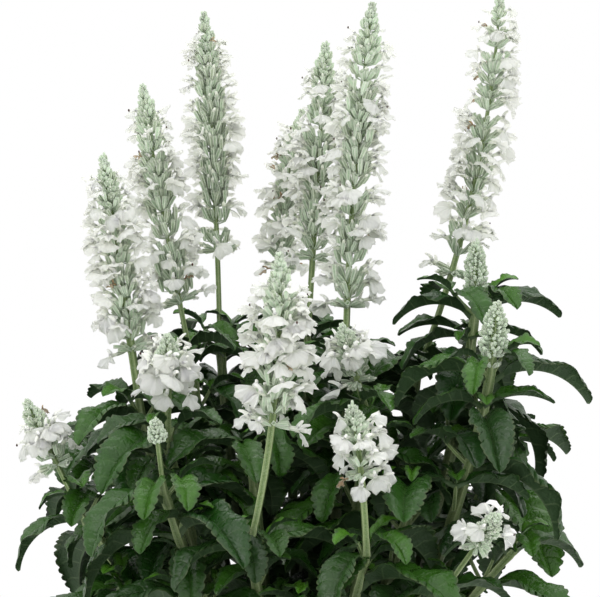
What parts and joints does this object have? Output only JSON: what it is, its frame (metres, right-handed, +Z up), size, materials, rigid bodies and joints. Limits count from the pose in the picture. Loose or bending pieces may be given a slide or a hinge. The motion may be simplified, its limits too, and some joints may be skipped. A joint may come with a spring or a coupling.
{
  "type": "potted mealycup sage",
  "caption": "White-flowered mealycup sage in a plain round grower's pot: toothed leaves on square stems under upright flower spikes.",
  "frame": {"origin": "middle of the pot's flat underside", "axes": "+Z up, -Y towards the front of the plant, +X to its right seen from the front"},
  "size_m": [0.2334, 0.2436, 0.392],
  "materials": {
    "pot": "matte moulded polypropylene",
    "soil": "matte crumbly bark and peat compost",
    "foliage": "satin dark green leaf with a paler midrib",
    "flowers": "matte white petals on mealy grey-green calyces"
  },
  "bodies": {
    "root": {"pot": "pot", "soil": "soil", "flower_head_01": "flowers", "flower_head_02": "flowers", "flower_head_03": "flowers", "flower_head_04": "flowers", "flower_head_05": "flowers", "flower_head_06": "flowers", "flower_head_07": "flowers", "flower_head_08": "flowers", "flower_head_09": "flowers", "flower_head_10": "flowers", "flower_head_11": "flowers", "flower_head_12": "flowers", "flower_head_13": "flowers", "flower_head_14": "flowers", "flower_head_15": "flowers", "flower_head_16": "flowers", "leafy_stem_01": "foliage", "leafy_stem_02": "foliage", "leafy_stem_03": "foliage", "leafy_stem_04": "foliage", "leafy_stem_05": "foliage", "leafy_stem_06": "foliage", "leafy_stem_07": "foliage", "leafy_stem_08": "foliage", "leafy_stem_09": "foliage", "leafy_stem_10": "foliage", "leafy_stem_11": "foliage", "leafy_stem_12": "foliage", "leafy_stem_13": "foliage", "leafy_stem_14": "foliage", "leafy_stem_15": "foliage", "leafy_stem_16": "foliage", "leafy_stem_17": "foliage", "leafy_stem_18": "foliage", "leafy_stem_19": "foliage", "leafy_stem_20": "foliage", "leafy_stem_21": "foliage", "leafy_stem_22": "foliage", "leafy_stem_23": "foliage", "leafy_stem_24": "foliage", "leafy_stem_25": "foliage", "leafy_stem_26": "foliage", "leafy_stem_27": "foliage", "leafy_stem_28": "foliage"}
  },
  "joints": []
}
